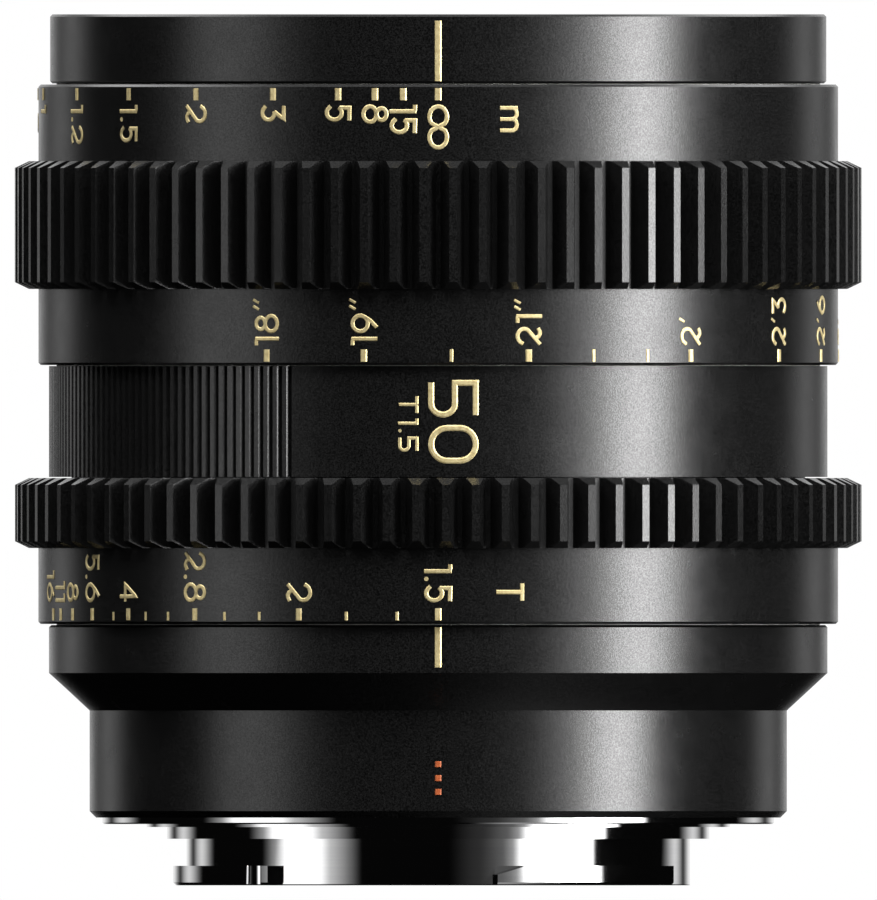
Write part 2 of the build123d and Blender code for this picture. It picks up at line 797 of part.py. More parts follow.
with BuildPart() as focus_stop_screw:
    radial_posts(
        small_screw_radius, stop_screw_inner, stop_block_outer - fit_gap, stop_screw_height,
        [back_bearing],
    )
finish(focus_stop_screw, "focus_stop_screw")

# Focus ring with its gear
focus_gear_low = focus_ring_low + focus_gear_rise
tooth_pitch = 360 / gear_teeth
cam_screw_bearings = spread(cam_screw_bearing, cam_screw_count)
cam_screw_height = cam_sleeve_top - 2 * small_head_radius
cam_screw_end = (focus_ring_bore + 2 * ring_radius) / 3
with BuildPart() as focus_ring:
    turned(
        [
            (focus_ring_bore, focus_ring_low),
            (ring_radius - edge_break, focus_ring_low),
            (ring_radius, focus_ring_low + edge_break),
            (ring_radius, focus_ring_top - edge_break),
            (ring_radius - edge_break, focus_ring_top),
            (focus_ring_bore, focus_ring_top),
        ]
    )
    gear_ring(
        focus_ring_bore, focus_gear_low, focus_gear_low + focus_gear_face,
        index_bearing + tooth_pitch / 2,
    )
    radial_posts(
        small_screw_radius + fit_gap, focus_ring_bore - cut_overrun, cam_screw_end + fit_gap,
        cam_screw_height, cam_screw_bearings, mode=Mode.SUBTRACT,
    )
finish(focus_ring, "focus_ring")

# Cam sleeve, fixed inside the focus ring, with three helical slots
lead = focus_travel * 360 / focus_turn
cam_middle = (cam_sleeve_bore + cam_sleeve_radius) / 2
with BuildPart() as cam_slot:
    with BuildLine() as slot_path:
        Helix(pitch=lead, height=focus_travel, radius=cam_middle, lefthand=True)
    with BuildSketch(
        Plane(origin=slot_path.line @ 0, x_dir=(1, 0, 0), z_dir=slot_path.line % 0)
    ):
        Rectangle(cam_sleeve_wall + 2 * cut_overrun, 2 * slot_half_width)
    sweep(path=slot_path.line, is_frenet=True)

stop_cut_angle = stop_block_angle + math.degrees(stop_gap / barrel_radius)
with BuildPart() as cam_sleeve:
    collar(cam_sleeve_bore, cam_sleeve_radius, cam_sleeve_low, cam_sleeve_top)
    with Locations(
        *[Location((0, 0, roller_height), (0, 0, bearing)) for bearing in roller_bearings]
    ):
        add(cam_slot.part, mode=Mode.SUBTRACT)
    for lift, turn in ((0, 0), (focus_travel, focus_turn)):
        radial_posts(
            slot_half_width, cam_sleeve_bore - cut_overrun, cam_sleeve_radius + cut_overrun,
            roller_height + lift, [bearing - turn for bearing in roller_bearings],
            mode=Mode.SUBTRACT,
        )
    arc_block(
        cam_sleeve_bore - cut_overrun, cam_sleeve_radius + cut_overrun,
        back_bearing - focus_turn - stop_cut_angle, focus_turn + 2 * stop_cut_angle,
        cam_sleeve_low - cut_overrun, stop_block_low + stop_block_height + stop_gap,
        mode=Mode.SUBTRACT,
    )
    radial_posts(
        small_screw_radius + fit_gap, cam_sleeve_bore - cut_overrun, cam_sleeve_radius + cut_overrun,
        cam_screw_height, cam_screw_bearings, mode=Mode.SUBTRACT,
    )
    radial_posts(
        small_head_radius + fit_gap, cam_sleeve_bore - cut_overrun,
        cam_sleeve_bore + small_head_height + fit_gap, cam_screw_height, cam_screw_bearings,
        mode=Mode.SUBTRACT,
    )
finish(cam_sleeve, "cam_sleeve")

with BuildPart() as cam_screws:
    radial_posts(
        small_screw_radius, cam_sleeve_bore + fit_gap, cam_screw_end, cam_screw_height,
        cam_screw_bearings,
    )
    radial_posts(
        small_head_radius, cam_sleeve_bore + fit_gap, cam_sleeve_bore + small_head_height,
        cam_screw_height, cam_screw_bearings,
    )
finish(cam_screws, "cam_screws")

# Carriage: the sliding barrel that holds both cells and the iris
cell_bearings = spread(index_bearing, cell_screw_count)
front_cell_circle = (carriage_bore_radius + carriage_radius) / 2
rear_cell_circle = (rear_cell_radius + rear_flange_radius) / 2
stud_inner = carriage_radius - stud_root_depth
pin_slot_half_angle = math.degrees((drive_pin_radius + stop_gap) / carriage_bore_radius)
pin_slot_half_height = drive_pin_radius + stop_gap
cell_screw_reach = 3 * web_thickness
with BuildPart() as carriage:
    turned(
        [
            (rear_sleeve_bore, rear_sleeve_low),
            (rear_sleeve_radius, rear_sleeve_low),
            (rear_sleeve_radius, web_low),
            (waist_radius, web_low),
            (waist_radius, land_low),
            (carriage_radius, land_low),
            (carriage_radius, land_top),
            (carriage_bore_radius, land_top),
            (carriage_bore_radius, iris_seat),
            (ledge_radius, iris_seat),
            (ledge_radius, web_top),
            (rear_sleeve_bore, web_top),
        ]
    )
    radial_posts(
        small_screw_radius + fit_gap, stud_inner - stop_gap, carriage_radius + cut_overrun,
        roller_height, roller_bearings, mode=Mode.SUBTRACT,
    )
    arc_block(
        carriage_bore_radius - cut_overrun, waist_radius + cut_overrun,
        back_bearing - pin_slot_half_angle, iris_turn + 2 * pin_slot_half_angle,
        drive_pin_height - pin_slot_half_height, drive_pin_height + pin_slot_half_height,
        mode=Mode.SUBTRACT,
    )
    axial_posts(
        small_screw_radius + fit_gap, front_cell_circle, land_top - cell_screw_reach - stop_gap,
        land_top + cut_overrun, cell_bearings, mode=Mode.SUBTRACT,
    )
    axial_posts(
        small_screw_radius + fit_gap, rear_cell_circle, web_low - cut_overrun,
        web_top + cut_overrun, cell_bearings, mode=Mode.SUBTRACT,
    )
finish(carriage, "carriage")

# Rollers and the studs that carry them: one roller runs in a straight slot and a helical slot
roller_outer = cam_sleeve_radius - running_gap
with BuildPart() as cam_rollers:
    radial_posts(
        roller_radius, carriage_radius + running_gap, roller_outer, roller_height, roller_bearings
    )
    radial_posts(
        roller_bore_radius, carriage_radius - cut_overrun, roller_outer + cut_overrun, roller_height,
        roller_bearings, mode=Mode.SUBTRACT,
    )
    radial_posts(
        stud_head_radius + fit_gap, roller_outer - stud_head_height - fit_gap,
        roller_outer + cut_overrun, roller_height, roller_bearings, mode=Mode.SUBTRACT,
    )
finish(cam_rollers, "cam_rollers")

with BuildPart() as roller_studs:
    radial_posts(small_screw_radius, stud_inner, roller_outer, roller_height, roller_bearings)
    radial_posts(
        stud_head_radius, roller_outer - stud_head_height, roller_outer, roller_height,
        roller_bearings,
    )
finish(roller_studs, "roller_studs")

for glass in (lens_1, lens_2, lens_3, lens_4, lens_5, lens_6, lens_7, lens_8):
    with BuildPart() as element:
        with BuildSketch(Plane.XZ):
            with BuildLine():
                front_half = glass.front_clear / 2
                rear_half = glass.rear_clear / 2
                ThreePointArc(
                    (0, glass.front),
                    (front_half, glass.front_at(front_half)),
                    (glass.front_clear, glass.front_at(glass.front_clear)),
                )
                rim_points = [
                    (glass.front_clear, glass.front_at(glass.front_clear)),
                    (glass.rim, glass.front_at(glass.rim)),
                    (glass.rim, glass.rear_at(glass.rim)),
                    (glass.rear_clear, glass.rear_at(glass.rear_clear)),
                ]
                Polyline(*[p for i, p in enumerate(rim_points) if p not in rim_points[:i]])
                ThreePointArc(
                    (glass.rear_clear, glass.rear_at(glass.rear_clear)),
                    (rear_half, glass.rear_at(rear_half)),
                    (0, glass.rear),
                )
                Line((0, glass.rear), (0, glass.front))
            make_face()
        revolve(axis=Axis.Z)
    finish(element, glass.name)

# Front cell: seats for lens 1 and lens 2 from the front, for the cemented pair from the rear
cell_flange_radius = carriage_radius - 2 * running_gap
lens_1_seat = lens_1.rear_at(lens_1.rim)
lens_2_seat = lens_2.rear_at(lens_2.rim)
front_shoulder = lens_3.rim - ring_lip / 2
front_shoulder_low = lens_3.front_at(front_shoulder) + fit_gap
with BuildPart() as front_cell:
    turned(
        [
            (lens_4.rim + fit_gap, cover_ring_top),
            (cell_radius, cover_ring_top),
            (cell_radius, land_top),
            (cell_flange_radius, land_top),
            (cell_flange_radius, cell_top),
            (lens_1.rim + fit_gap, cell_top),
            (lens_1.rim + fit_gap, lens_1_seat),
            (lens_2.rim + fit_gap, lens_1_seat),
            (lens_2.rim + fit_gap, lens_2_seat),
            (front_shoulder, lens_2_seat),
            (front_shoulder, front_shoulder_low),
            (lens_4.rim + fit_gap, front_shoulder_low),
        ]
    )
    axial_posts(
        small_screw_radius + fit_gap, front_cell_circle, land_top - cut_overrun,
        cell_top + cut_overrun, cell_bearings, mode=Mode.SUBTRACT,
    )
    axial_posts(
        small_head_radius + fit_gap, front_cell_circle, cell_top - small_head_height,
        cell_top + cut_overrun, cell_bearings, mode=Mode.SUBTRACT,
    )
finish(front_cell, "front_cell")

with BuildPart() as front_cell_screws:
    axial_posts(
        small_head_radius, front_cell_circle, cell_top - small_head_height, cell_top, cell_bearings
    )
    axial_posts(
        small_screw_radius, front_cell_circle, land_top - cell_screw_reach, cell_top, cell_bearings
    )
finish(front_cell_screws, "front_cell_screws")

# Rings that hold the front glass
front_ring_inner = lens_1.rim - ring_lip
with BuildPart() as front_retaining_ring:
    turned(
        [
            (lens_1.rim, lens_1.front_at(lens_1.rim) + fit_gap),
            (lens_1.rim, lens_1.front_at(front_ring_inner) + front_ring_height_inside),
            (front_ring_inner, lens_1.front_at(front_ring_inner) + front_ring_height_inside),
            (front_ring_inner, lens_1.front_at(front_ring_inner) + fit_gap),
        ]
    )
finish(front_retaining_ring, "front_retaining_ring")

lens_2_ring_inner = lens_2.rim - ring_lip
lens_2_ring_low = lens_2.front_at(lens_2_ring_inner) + fit_gap
with BuildPart() as front_spacer:
    collar(lens_2_ring_inner, lens_2.rim, lens_2_ring_low, lens_1.rear_at(lens_2.rim) - fit_gap)
finish(front_spacer, "front_spacer")

with BuildPart() as doublet_retaining_ring:
    collar(
        lens_4.rear_clear, lens_4.rim, doublet_ring_low, lens_4.rear_at(lens_4.rim) - fit_gap
    )
finish(doublet_retaining_ring, "doublet_retaining_ring")

# Beauty ring over the front cell's screws, bare
beauty_ring_inner = lens_1.rim + beauty_ring_step
with BuildPart() as beauty_ring:
    turned(
        [
            (beauty_ring_inner, cell_top),
            (cell_flange_radius, cell_top),
            (cell_flange_radius, cell_top + beauty_ring_thickness - edge_break),
            (cell_flange_radius - edge_break, cell_top + beauty_ring_thickness),
            (beauty_ring_inner + edge_break, cell_top + beauty_ring_thickness),
            (beauty_ring_inner, cell_top + beauty_ring_thickness - edge_break),
        ]
    )
finish(beauty_ring, "beauty_ring")

# Rear cell, screwed to the carriage web
rear_cell_low = rear_sleeve_low + rear_cell_end_gap
rear_shoulder = lens_6.rim - ring_lip / 2
lens_6_seat = lens_6.rear_at(rear_shoulder) - fit_gap
lens_7_seat = lens_7.front_at(rear_shoulder) + fit_gap
lens_8_step = lens_8.front_at(lens_7.rim) + fit_gap
flange_top = web_top + rear_cell_flange
doublet_wall_radius = lens_5.rim + rear_doublet_wall
with BuildPart() as rear_cell:
    turned(
        [
            (lens_8.rim + fit_gap, rear_cell_low),
            (rear_cell_radius, rear_cell_low),
            (rear_cell_radius, web_top),
            (rear_flange_radius, web_top),
            (rear_flange_radius, flange_top),
            (doublet_wall_radius, flange_top),
            (doublet_wall_radius, rear_ring_top),
            (lens_5.rim + fit_gap, rear_ring_top),
            (lens_5.rim + fit_gap, lens_6_seat),
            (rear_shoulder, lens_6_seat),
            (rear_shoulder, lens_7_seat),
            (lens_7.rim + fit_gap, lens_7_seat),
            (lens_7.rim + fit_gap, lens_8_step),
            (lens_8.rim + fit_gap, lens_8_step),
        ]
    )
    axial_posts(
        small_screw_radius + fit_gap, rear_cell_circle, web_top - cut_overrun,
        flange_top + cut_overrun, cell_bearings, mode=Mode.SUBTRACT,
    )
finish(rear_cell, "rear_cell")

with BuildPart() as rear_cell_screws:
    axial_posts(
        small_head_radius, rear_cell_circle, flange_top, flange_top + small_head_height,
        cell_bearings,
    )
    axial_posts(
        small_screw_radius, rear_cell_circle, web_low + stop_gap, flange_top, cell_bearings
    )
finish(rear_cell_screws, "rear_cell_screws")

with BuildPart() as rear_doublet_ring:
    collar(lens_5.front_clear, lens_5.rim, lens_5.front_at(lens_5.rim) + fit_gap, rear_ring_top)
finish(rear_doublet_ring, "rear_doublet_ring")

spacer_inner = lens_7.rim - ring_lip
with BuildPart() as rear_spacer:
    collar(
        spacer_inner, lens_7.rim, lens_8.front_at(spacer_inner) + fit_gap,
        lens_7.rear_at(spacer_inner) - fit_gap,
    )
finish(rear_spacer, "rear_spacer")

rear_ring_inner = lens_8.rim - ring_lip
with BuildPart() as rear_retaining_ring:
    collar(
        rear_ring_inner, lens_8.rim, rear_cell_low + rear_cell_end_gap,
        lens_8.rear_at(lens_8.rim) - fit_gap,
    )
finish(rear_retaining_ring, "rear_retaining_ring")


def blade_pin(swing):
    """Where a blade's drive pin stands after a swing, for the blade whose pivot is on +X."""
    turn = math.radians(blade_lever_angle + swing)
    return (
        blade_pivot_circle + blade_lever_length * math.cos(turn),
        blade_lever_length * math.sin(turn),
    )


def slot_centre(share):
    """The drive pin's place in the drive ring, at a share of the iris ring's turn: radius and bearing."""
    x, y = blade_pin(blade_swing * share)
    return math.hypot(x, y), math.degrees(math.atan2(y, x)) - iris_turn * share


# The drive pin stands just past the closed end of a cam slot, where the ring is solid
closed_radius, closed_bearing = slot_centre(1)
first_pivot_bearing = back_bearing - closed_bearing + drive_pin_lag
pivot_bearings = spread(first_pivot_bearing, blade_count)

with BuildPart() as iris_base_plate:
    turned(
        [
            (base_plate_opening, iris_seat),
            (cell_radius, iris_seat),
            (cell_radius, base_rim_top),
            (cell_radius - base_rim_width, base_rim_top),
            (cell_radius - base_rim_width, iris_seat + base_plate_thickness),
            (base_plate_opening, iris_seat + base_plate_thickness),
        ]
    )
    axial_posts(
        blade_pin_radius + blade_pin_gap, blade_pivot_circle, iris_seat - cut_overrun,
        iris_seat + base_plate_thickness + cut_overrun, pivot_bearings, mode=Mode.SUBTRACT,
    )
finish(iris_base_plate, "iris_base_plate")

# Blades: an arc-shaped strip, an ear on the pivot and a tail with the drive pin
strip_middle = (blade_inner_radius + blade_outer_radius) / 2
strip_half_width = (blade_outer_radius - blade_inner_radius) / 2
blade_neck_angle = math.degrees(4 * blade_boss_radius / blade_outer_radius)
tail_x, tail_y = blade_pin(0)
for number, pivot_bearing in enumerate(pivot_bearings, start=1):
    layer_low = blade_floor + (number - 1) * blade_pitch
    layer_top = layer_low + blade_thickness
    blade_plane = Plane.XY.rotated((0, 0, pivot_bearing))
    with BuildPart(blade_plane) as iris_blade:
        with BuildSketch(blade_plane.offset(layer_low)):
            with BuildLine():
                inner_edge = CenterArc((0, 0), blade_inner_radius, 0, blade_arc_angle)
                outer_edge = CenterArc((0, 0), blade_outer_radius, 0, blade_arc_angle)
                Line(inner_edge @ 0, outer_edge @ 0)
                Line(inner_edge @ 1, outer_edge @ 1)
            make_face()
            with Locations(at_bearing(strip_middle, blade_arc_angle)):
                Circle(strip_half_width)
            with Locations((blade_pivot_circle, 0)):
                Circle(blade_boss_radius)
            with Locations((tail_x, tail_y)):
                Circle(blade_tail_radius)
            with BuildLine():
                Polyline(
                    (tail_x - blade_tail_radius, tail_y),
                    (tail_x + blade_tail_radius, tail_y),
                    (blade_pivot_circle + blade_boss_radius, 0),
                    (blade_pivot_circle, blade_boss_radius),
                    at_bearing(blade_outer_radius, blade_neck_angle),
                    at_bearing(strip_middle, 0),
                    (blade_pivot_circle - blade_boss_radius, -blade_boss_radius / 2),
                    close=True,
                )
            make_face()
        extrude(amount=blade_thickness)
        with Locations((blade_pivot_circle, 0, iris_seat + axial_gap)):
            Cylinder(
                blade_pin_radius, layer_top - iris_seat - axial_gap,
                align=(Align.CENTER, Align.CENTER, Align.MIN),
            )
        with Locations((tail_x, tail_y, layer_low)):
            Cylinder(
                blade_pin_radius, drive_ring_top - axial_gap - layer_low,
                align=(Align.CENTER, Align.CENTER, Align.MIN),
            )
    finish(iris_blade, f"iris_blade_{number:02d}")

# Drive ring: one cam slot for each blade's drive pin
slot_steps = 12
slot_half = blade_pin_radius + blade_pin_gap
centres = []
for step in range(slot_steps + 1):
    radius, bearing = slot_centre(step / slot_steps)
    centres.append(Vector(*at_bearing(radius, bearing)))
sides = {1: [], -1: []}
for step, centre in enumerate(centres):
    ahead = centres[min(step + 1, slot_steps)]
    behind = centres[max(step - 1, 0)]
    across = (ahead - behind).normalized().rotate(Axis.Z, 90)
    for side in sides:
        sides[side].append(centre + across * side * slot_half)
drive_pin_inner = cell_radius - running_gap - drive_pin_length / 2
with BuildPart() as iris_drive_ring:
    collar(drive_ring_inner_radius, cell_radius - running_gap, drive_ring_low, drive_ring_top)
    with BuildSketch(Plane.XY.offset(drive_ring_low)) as cam_slots:
        with Locations(*[Location((0, 0, 0), (0, 0, bearing)) for bearing in pivot_bearings]):
            with BuildSketch(mode=Mode.PRIVATE) as one_slot:
                with BuildLine():
                    left = Spline(*sides[1])
                    right = Spline(*sides[-1])
                    Line(left @ 0, right @ 0)
                    Line(left @ 1, right @ 1)
                make_face()
                with Locations(centres[0], centres[-1]):
                    Circle(slot_half)
            add(one_slot.sketch)
    extrude(amount=drive_ring_thickness, mode=Mode.SUBTRACT)
    radial_posts(
        drive_pin_radius + fit_gap, drive_pin_inner - fit_gap, cell_radius + cut_overrun,
        drive_pin_height, [back_bearing], mode=Mode.SUBTRACT,
    )
finish(iris_drive_ring, "iris_drive_ring")

with BuildPart() as iris_drive_pin:
    radial_posts(
        drive_pin_radius, drive_pin_inner, arm_outer - fit_gap, drive_pin_height, [back_bearing]
    )
finish(iris_drive_pin, "iris_drive_pin")

with BuildPart() as iris_cover_ring:
    collar(cover_ring_inner_radius, cell_radius, cover_ring_low, cover_ring_top - fit_gap)
finish(iris_cover_ring, "iris_cover_ring")

# Iris ring with its gear
arm_screw_bearings = (back_bearing - arm_half_angle / 2, back_bearing + arm_half_angle / 2)
arm_screw_height = arm_low + arm_foot_height / 2
arm_screw_inner = (arm_inner + arm_outer) / 2
arm_head_seat = ring_radius - 2 * small_head_height
iris_ring_bore = barrel_radius + running_gap
with BuildPart() as iris_ring:
    turned(
        [
            (washer_outer + running_gap, iris_ring_low),
            (ring_radius - edge_break, iris_ring_low),
            (ring_radius, iris_ring_low + edge_break),
            (ring_radius, iris_ring_top),
            (iris_ring_bore, iris_ring_top),
            (iris_ring_bore, band_top + washer_thickness + axial_gap),
            (washer_outer + running_gap, band_top + washer_thickness + axial_gap),
        ]
    )
    gear_ring(
        iris_ring_bore, iris_ring_top - iris_gear_face, iris_ring_top,
        index_bearing + iris_tooth_offset,
    )
    radial_posts(
        small_screw_radius + fit_gap, iris_ring_bore - cut_overrun, ring_radius + cut_overrun,
        arm_screw_height, arm_screw_bearings, mode=Mode.SUBTRACT,
    )
    radial_posts(
        small_head_radius + fit_gap, arm_head_seat, ring_radius + cut_overrun, arm_screw_height,
        arm_screw_bearings, mode=Mode.SUBTRACT,
    )
finish(iris_ring, "iris_ring")

# Iris arm: its foot passes through the guide barrel, its fork takes the drive pin
fork_half_angle = math.degrees((drive_pin_radius + blade_pin_gap) / arm_inner)
fork_low = drive_pin_height - drive_pin_radius - stop_gap
fork_margin = drive_pin_radius + stop_gap
with BuildPart() as iris_arm:
    arc_block(
        arm_inner, arm_outer, back_bearing - arm_half_angle, 2 * arm_half_angle, arm_low, arm_top
    )
    arc_block(
        (arm_inner + arm_outer) / 2, iris_ring_bore - fit_gap, back_bearing - arm_half_angle,
        2 * arm_half_angle, arm_low, arm_low + arm_foot_height,
    )
    arc_block(
        arm_inner - cut_overrun, arm_outer + cut_overrun, back_bearing - fork_half_angle,
        2 * fork_half_angle, fork_low, drive_pin_height + focus_travel + fork_margin,
        mode=Mode.SUBTRACT,
    )
    radial_posts(
        small_screw_radius + fit_gap, arm_screw_inner, iris_ring_bore + cut_overrun,
        arm_screw_height, arm_screw_bearings, mode=Mode.SUBTRACT,
    )
finish(iris_arm, "iris_arm")

with BuildPart() as iris_arm_screws:
    radial_posts(
        small_screw_radius, arm_screw_inner + fit_gap, ring_radius - small_head_height,
        arm_screw_height, arm_screw_bearings,
    )
    radial_posts(
        small_head_radius, arm_head_seat, ring_radius - small_head_height / 2, arm_screw_height,
        arm_screw_bearings,
    )
finish(iris_arm_screws, "iris_arm_screws")

print("focus travel", round(focus_travel, 4), "blade swing", round(blade_swing, 4))
print("travel per radian", focus_travel / math.radians(focus_turn))
print("blade ratio", blade_swing / iris_turn, "overall", front_top + tube_depth)
print("pivots", [round(bearing % 360, 4) for bearing in pivot_bearings])
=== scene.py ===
import json
import math

import bmesh
import bpy
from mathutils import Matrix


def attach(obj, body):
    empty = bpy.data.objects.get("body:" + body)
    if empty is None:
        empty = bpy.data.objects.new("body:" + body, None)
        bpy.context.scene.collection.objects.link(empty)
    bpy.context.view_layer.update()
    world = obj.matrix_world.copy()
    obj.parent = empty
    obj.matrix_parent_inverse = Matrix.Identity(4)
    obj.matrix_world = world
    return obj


# Looks of the cinema prime lens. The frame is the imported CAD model: metres, +Z along the optical axis,
# seat plane at height zero, index marks towards -Y.
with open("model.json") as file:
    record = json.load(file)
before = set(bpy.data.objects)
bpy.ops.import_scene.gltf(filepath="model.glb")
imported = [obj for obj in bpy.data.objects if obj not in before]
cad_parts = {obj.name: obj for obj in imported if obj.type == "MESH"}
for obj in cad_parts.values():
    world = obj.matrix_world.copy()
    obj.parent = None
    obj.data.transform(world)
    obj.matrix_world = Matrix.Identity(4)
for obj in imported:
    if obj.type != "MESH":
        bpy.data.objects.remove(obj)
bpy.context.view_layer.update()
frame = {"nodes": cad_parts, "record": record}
nodes = frame["nodes"]
MM = 0.001
scene = bpy.context.scene

# Places on the lens, in millimetres, at rest
floor_height = -4.96
front_ring_radius = 33.0
focus_ring_radius = 34.0
grip_sleeve_radius = 33.1
iris_ring_radius = 34.0
rear_band_radius = 33.1
rear_barrel_radius = 29.65
arm_screw_radius = 33.755
arm_screw_height = 21.065
thread_radius = 30.58
thread_low = 65.3
thread_high = 68.8
mark_lift = 0.012            # marks stand this far out of the metal, so that they don't flicker with it

# Index lines and ticks: lower and upper end, in millimetres
front_index_ends = (63.43, 68.56)
iris_index_ends = (13.58, 16.98)
metre_tick = (61.8, 62.83)
feet_tick = (39.57, 40.62)
stop_tick = (17.58, 18.6)
small_stop_tick = (17.58, 18.3)
line_width = 0.56

# Grain of the surfaces: noise cells in a metre, and depth of the relief in metres
blast_cells = 7600.0
blast_depth = 0.000014
gloss_cells = 420.0
lathe_cells = 900.0
lathe_stretch = (0.02, 0.02, 6.0)
lathe_gloss_cells = 300.0
lathe_depth = 0.00001
paint_tone_cells = 2600.0
paint_grain_cells = 5200.0
paint_depth = 0.00002
plastic_cells = 900.0
plastic_depth = 0.00002
painted_shade_fade = 0.00003          # height over which the painted shade at the end of the chrome tube fades out


# Node helpers

def new_material(name):
    """A material with its Principled shader and node tree at hand."""
    material = bpy.data.materials.new(name)
    material.use_nodes = True
    tree = material.node_tree
    return material, tree, tree.nodes["Principled BSDF"]


def add_node(tree, kind, **values):
    """A node with some of its inputs set by name."""
    node = tree.nodes.new(kind)
    for key, value in values.items():
        node.inputs[key.replace("_", " ")].default_value = value
    return node


def ramp(tree, factor, low, high, low_colour, high_colour):
    """A two-colour ramp driven by a factor."""
    node = tree.nodes.new("ShaderNodeValToRGB")
    node.color_ramp.elements[0].position = low
    node.color_ramp.elements[1].position = high
    node.color_ramp.elements[0].color = (*low_colour, 1)
    node.color_ramp.elements[1].color = (*high_colour, 1)
    tree.links.new(factor, node.inputs["Fac"])
    return node.outputs["Color"]


def noise(tree, scale, detail=3.0, stretch=(1, 1, 1)):
    """Noise in object coordinates, in metres, that can be drawn out along an axis."""
    place = tree.nodes.new("ShaderNodeTexCoord")
    shape = tree.nodes.new("ShaderNodeMapping")
    shape.inputs["Scale"].default_value = stretch
    grain = add_node(tree, "ShaderNodeTexNoise", Scale=scale, Detail=detail)
    tree.links.new(place.outputs["Object"], shape.inputs["Vector"])
    tree.links.new(shape.outputs["Vector"], grain.inputs["Vector"])
    return grain.outputs["Fac"]


def bump(tree, shader, height, strength, distance):
    """Fine relief on a shader's normal."""
    node = add_node(tree, "ShaderNodeBump", Strength=strength, Distance=distance)
    tree.links.new(height, node.inputs["Height"])
    tree.links.new(node.outputs["Normal"], shader.inputs["Normal"])


def grey(value):
    """An even grey."""
    return (value, value, value)


# Materials, one for each slot of the record

def blasted_metal(name, dark, light, rough_low, rough_high, specular):
    """Fine-blasted and black anodised aluminium: fine flecks, with faint cloudiness in the gloss."""
    material, tree, shader = new_material(name)
    fleck = noise(tree, blast_cells, 2.0)
    fleck_low = 0.36
    fleck_high = 0.64
    tint = ramp(tree, fleck, fleck_low, fleck_high, dark, light)
    tree.links.new(tint, shader.inputs["Base Color"])
    patch = noise(tree, gloss_cells, 5.0)
    gloss = ramp(tree, patch, 0.25, 0.75, grey(rough_low), grey(rough_high))
    tree.links.new(gloss, shader.inputs["Roughness"])
    shader.inputs["Specular IOR Level"].default_value = specular
    glint = ramp(tree, fleck, fleck_low, fleck_high, grey(0.70), grey(1.0))
    tree.links.new(glint, shader.inputs["Specular Tint"])
    bump(tree, shader, fleck, 0.5, blast_depth)
    return material


def turned_metal(name, colour, shade, rough, relief):
    """Metal with the fine rings that a lathe leaves round the axis."""
    material, tree, shader = new_material(name)
    rings = noise(tree, lathe_cells, 3.0, lathe_stretch)
    tree.links.new(ramp(tree, rings, 0.3, 0.7, shade, colour), shader.inputs["Base Color"])
    patch = noise(tree, lathe_gloss_cells, 4.0)
    gloss = ramp(tree, patch, 0.3, 0.7, grey(rough * 0.8), grey(rough * 1.25))
    tree.links.new(gloss, shader.inputs["Roughness"])
    shader.inputs["Metallic"].default_value = 1.0
    bump(tree, shader, rings, relief, lathe_depth)
    return material


def painted_end_shade(material, height):
    """Painted shade: darkens a metal below a height in metres, as if the edge at its end were in shade.
    """
    tree = material.node_tree
    shader = tree.nodes["Principled BSDF"]
    colour = shader.inputs["Base Color"].links[0].from_socket
    place = tree.nodes.new("ShaderNodeTexCoord")
    split = tree.nodes.new("ShaderNodeSeparateXYZ")
    share = add_node(tree, "ShaderNodeMapRange", From_Min=height, From_Max=height + painted_shade_fade)
    mix = tree.nodes.new("ShaderNodeMixRGB")
    # colour of the painted shade at the end of the tube
    mix.inputs["Color1"].default_value = (0.03, 0.03, 0.03, 1)
    tree.links.new(place.outputs["Object"], split.inputs["Vector"])
    tree.links.new(split.outputs["Z"], share.inputs["Value"])
    tree.links.new(share.outputs["Result"], mix.inputs["Fac"])
    tree.links.new(colour, mix.inputs["Color2"])
    tree.links.new(mix.outputs["Color"], shader.inputs["Base Color"])


def filled_paint(name, colour, shade, rough, metallic):
    """Paint rubbed into an engraved mark: slightly uneven in colour and surface."""
    material, tree, shader = new_material(name)
    mottle = noise(tree, paint_tone_cells, 4.0)
    tree.links.new(ramp(tree, mottle, 0.35, 0.65, shade, colour), shader.inputs["Base Color"])
    shader.inputs["Roughness"].default_value = rough
    shader.inputs["Metallic"].default_value = metallic
    shader.inputs["Specular IOR Level"].default_value = 0.3
    bump(tree, shader, noise(tree, paint_grain_cells, 2.0), 0.4, paint_depth)
    return material


def coated_glass(name):
    """Clear optical glass with the violet and green sheen of its coating."""
    material, tree, shader = new_material(name)
    shader.inputs["Base Color"].default_value = (0.97, 0.985, 0.98, 1)
    shader.inputs["Transmission Weight"].default_value = 1.0
    shader.inputs["Roughness"].default_value = 0.0
    shader.inputs["IOR"].default_value = 1.3
    facing = add_node(tree, "ShaderNodeLayerWeight", Blend=0.35)
    tint = ramp(tree, facing.outputs["Facing"], 0.1, 0.8, (0.17, 0.12, 0.36), (0.12, 0.34, 0.24))
    tree.links.new(tint, shader.inputs["Specular Tint"])
    return material


def bearing_plastic(name):
    """Pale bearing plastic with a dull, slightly mottled surface."""
    material, tree, shader = new_material(name)
    mottle = noise(tree, plastic_cells, 3.0)
    colour = ramp(tree, mottle, 0.3, 0.7, (0.62, 0.61, 0.57), (0.72, 0.71, 0.67))
    tree.links.new(colour, shader.inputs["Base Color"])
    shader.inputs["Roughness"].default_value = 0.5
    bump(tree, shader, mottle, 0.2, plastic_depth)
    return material


